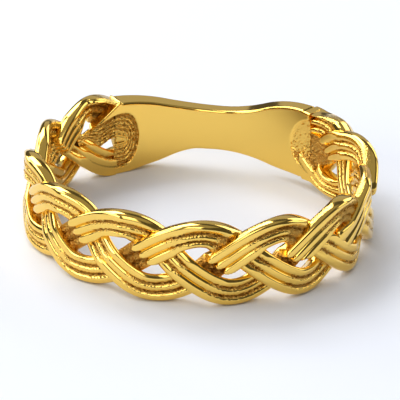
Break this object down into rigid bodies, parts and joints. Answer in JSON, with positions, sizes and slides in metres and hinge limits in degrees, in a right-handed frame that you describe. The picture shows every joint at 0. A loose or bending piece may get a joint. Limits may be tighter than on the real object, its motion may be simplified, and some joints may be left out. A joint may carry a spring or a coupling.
{
  "type": "braided band ring",
  "caption": "Finger ring whose band is a flat plait of ribbed strands, closed at the back by a plain polished shank with a narrow waist.",
  "frame": {"origin": "where the finger hole's axis meets the plane that the ring lies on", "axes": "+Z along the finger hole, up from the resting plane; the middle of the plait is at -Y and the shank at +Y; +X to the right seen from the plait's middle"},
  "size_m": [0.0202, 0.0198, 0.005],
  "materials": {
    "gold": "cast yellow gold, high polish, fine pitting in the valleys between the wires"
  },
  "bodies": {
    "root": {"shank": "gold", "strand_1": "gold", "strand_2": "gold", "strand_3": "gold"}
  },
  "joints": []
}
